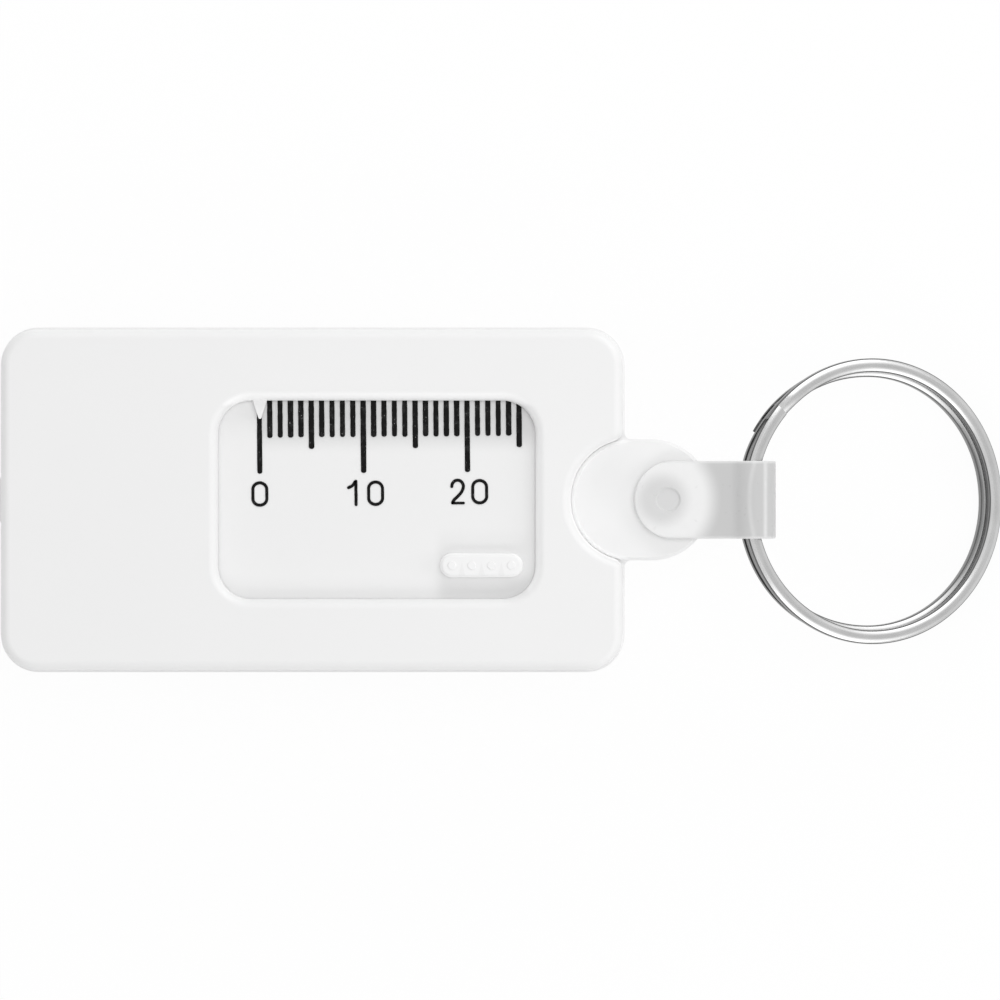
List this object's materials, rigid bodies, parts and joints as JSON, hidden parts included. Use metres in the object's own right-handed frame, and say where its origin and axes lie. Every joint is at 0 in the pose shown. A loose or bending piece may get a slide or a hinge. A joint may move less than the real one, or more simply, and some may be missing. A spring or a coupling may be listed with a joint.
{
  "type": "tire tread depth gauge",
  "caption": "Flat pocket gauge with a windowed millimetre slide, a probe blade that comes out of one end, a folded strap and a split key ring.",
  "frame": {"origin": "centre of the case's flat back face", "axes": "+X along the gauge towards the key ring, -X the way the probe comes out, +Z out of the window"},
  "size_m": [0.0976, 0.0334, 0.0142],
  "materials": {
    "white_case": "satin moulded white",
    "white_slide": "satin moulded white",
    "black_ink": "stamped black ink",
    "frosted_strap": "frosted translucent",
    "nickel_wire": "polished nickel plate"
  },
  "bodies": {
    "case": {"front_cover": "white_case", "back_cover": "white_case"},
    "slider": {"slide": "white_slide", "scale_marks": "black_ink"},
    "strap": {"key_strap": "frosted_strap"},
    "ring": {"split_ring": "nickel_wire"}
  },
  "joints": [
    {"name": "scale_slide", "type": "slide", "parent": "case", "child": "slider", "axis": [-1, 0, 0], "range_m": [0, 0.0195]},
    {"name": "strap_swivel", "type": "hinge", "parent": "case", "child": "strap", "pos_m": [0.0343, 0, 0.0034], "axis": [0, 0, 1], "range_deg": [-50, 50]},
    {"name": "ring_swing", "type": "hinge", "parent": "strap", "child": "ring", "pos_m": [0.0422, 0, 0.0034], "axis": [0, 1, 0], "range_deg": [-112, 68]}
  ]
}
